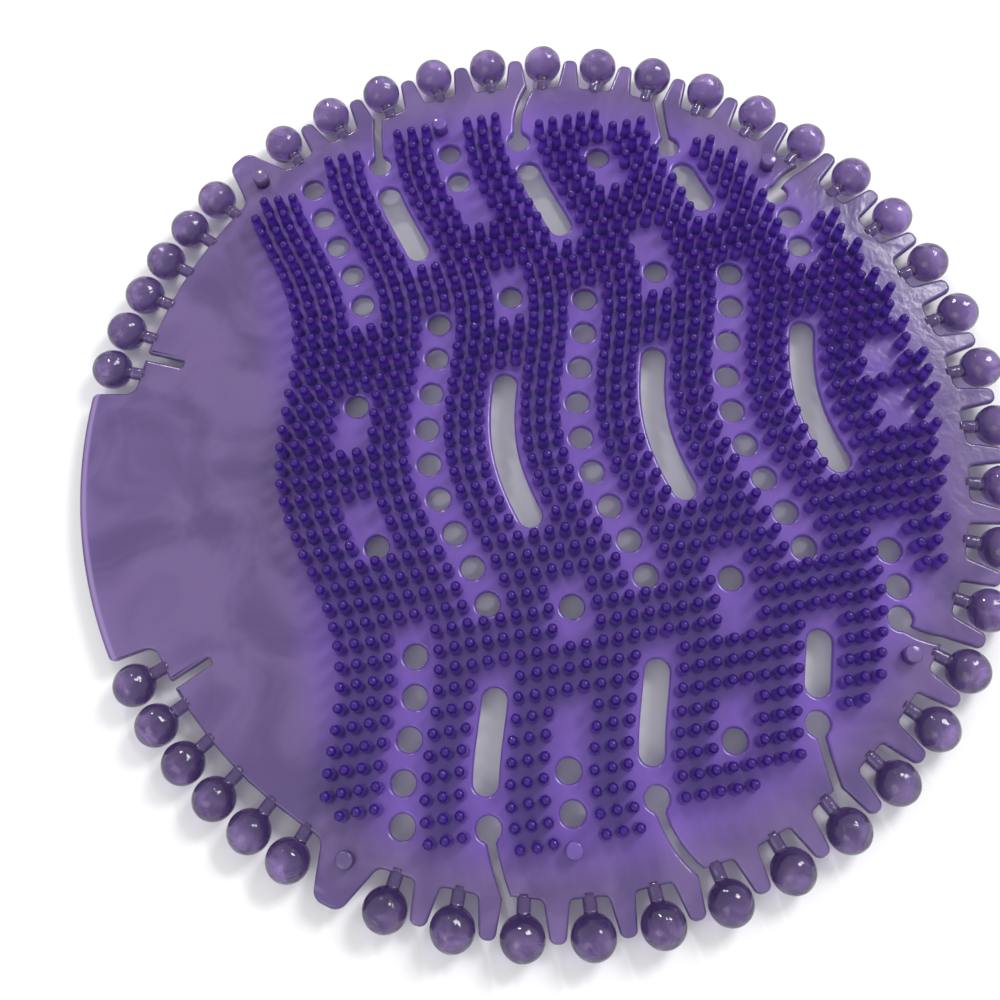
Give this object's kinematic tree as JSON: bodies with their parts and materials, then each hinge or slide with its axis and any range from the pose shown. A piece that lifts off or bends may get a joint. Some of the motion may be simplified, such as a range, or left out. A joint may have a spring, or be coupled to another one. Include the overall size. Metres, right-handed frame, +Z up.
{
  "type": "urinal deodorizer screen",
  "caption": "Round flexible drain screen with a wavy field of anti-splash bristles, drain holes and slots, a smooth lip and a rim of balls on short necks.",
  "frame": {"origin": "under the middle of the screen's box, on the surface that it lies on", "axes": "+Z up out of the bristles, -X towards the smooth lip, +Y across the screen"},
  "size_m": [0.182, 0.1834, 0.011],
  "materials": {
    "soft_plastic": "glossy translucent purple EVA"
  },
  "bodies": {
    "root": {"screen": "soft_plastic"}
  },
  "joints": []
}
